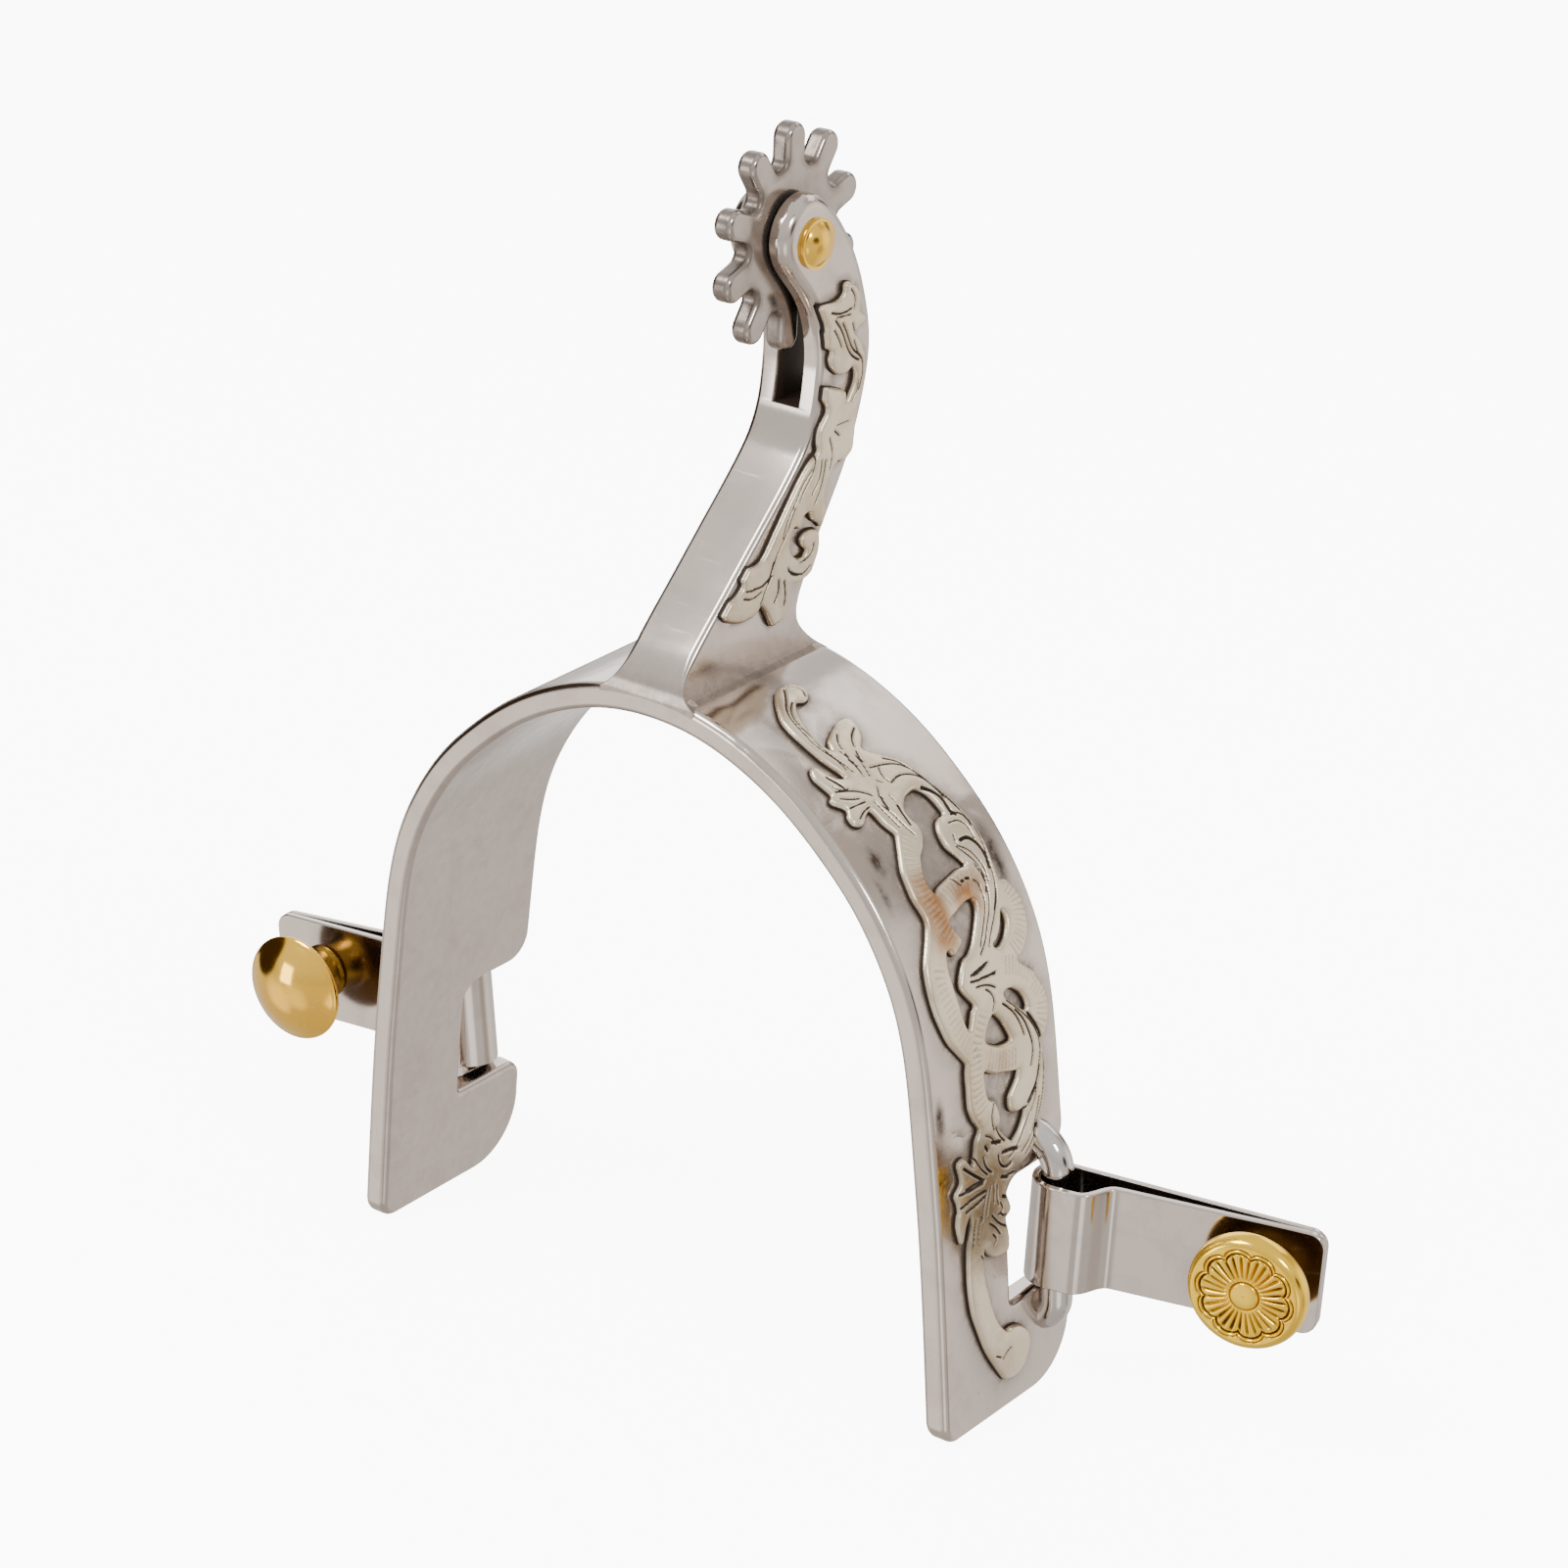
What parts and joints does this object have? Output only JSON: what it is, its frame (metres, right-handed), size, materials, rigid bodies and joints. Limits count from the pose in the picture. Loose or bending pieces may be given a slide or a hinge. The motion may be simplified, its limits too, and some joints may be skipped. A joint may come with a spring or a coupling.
{
  "type": "western spur",
  "caption": "U-shaped western spur: heel band with a forked shank, a spinning toothed rowel, scroll overlays and swinging strap-button hangers on both legs.",
  "frame": {"origin": "midway between the two leg tips, in the plane of the tips and at the middle of the band's width", "axes": "+X to the outer (decorated) leg, +Y across the band's width to the side where the notches open and the shank leans, +Z from the leg tips up to the shank"},
  "size_m": [0.1516, 0.0373, 0.142],
  "materials": {
    "band_steel": "polished and worn",
    "shank_steel": "satin, with a weld bead at its foot",
    "rowel_steel": "satin",
    "wire_steel": "satin",
    "strip_steel": "polished",
    "overlay_silver": "nickel silver, engraved, dark in the cuts",
    "pin_brass": "polished and worn",
    "button_brass": "polished"
  },
  "bodies": {
    "band": {"heel_band": "band_steel", "shank": "shank_steel", "rowel_pin": "pin_brass", "outer_hinge_staple": "wire_steel", "inner_hinge_staple": "wire_steel", "shank_overlay": "overlay_silver", "band_overlay": "overlay_silver"},
    "rowel_wheel": {"rowel": "rowel_steel"},
    "outer_hanger": {"outer_button_hanger": "strip_steel", "outer_button": "button_brass"},
    "inner_hanger": {"inner_button_hanger": "strip_steel", "inner_button": "button_brass"}
  },
  "joints": [
    {"name": "rowel_spin", "type": "hinge", "parent": "band", "child": "rowel_wheel", "pos_m": [0, 0.0118, 0.1289], "axis": [0.999, 0.0436, 0], "continuous": true},
    {"name": "outer_hanger_swing", "type": "hinge", "parent": "band", "child": "outer_hanger", "pos_m": [0.04451, 0.0076, 0.0206], "axis": [0.0523, 0, 0.9986], "range_deg": [-88, 172]},
    {"name": "inner_hanger_swing", "type": "hinge", "parent": "band", "child": "inner_hanger", "pos_m": [-0.04449, 0.0076, 0.0203], "axis": [0.0872, 0, -0.9962], "range_deg": [-69, 175]}
  ]
}
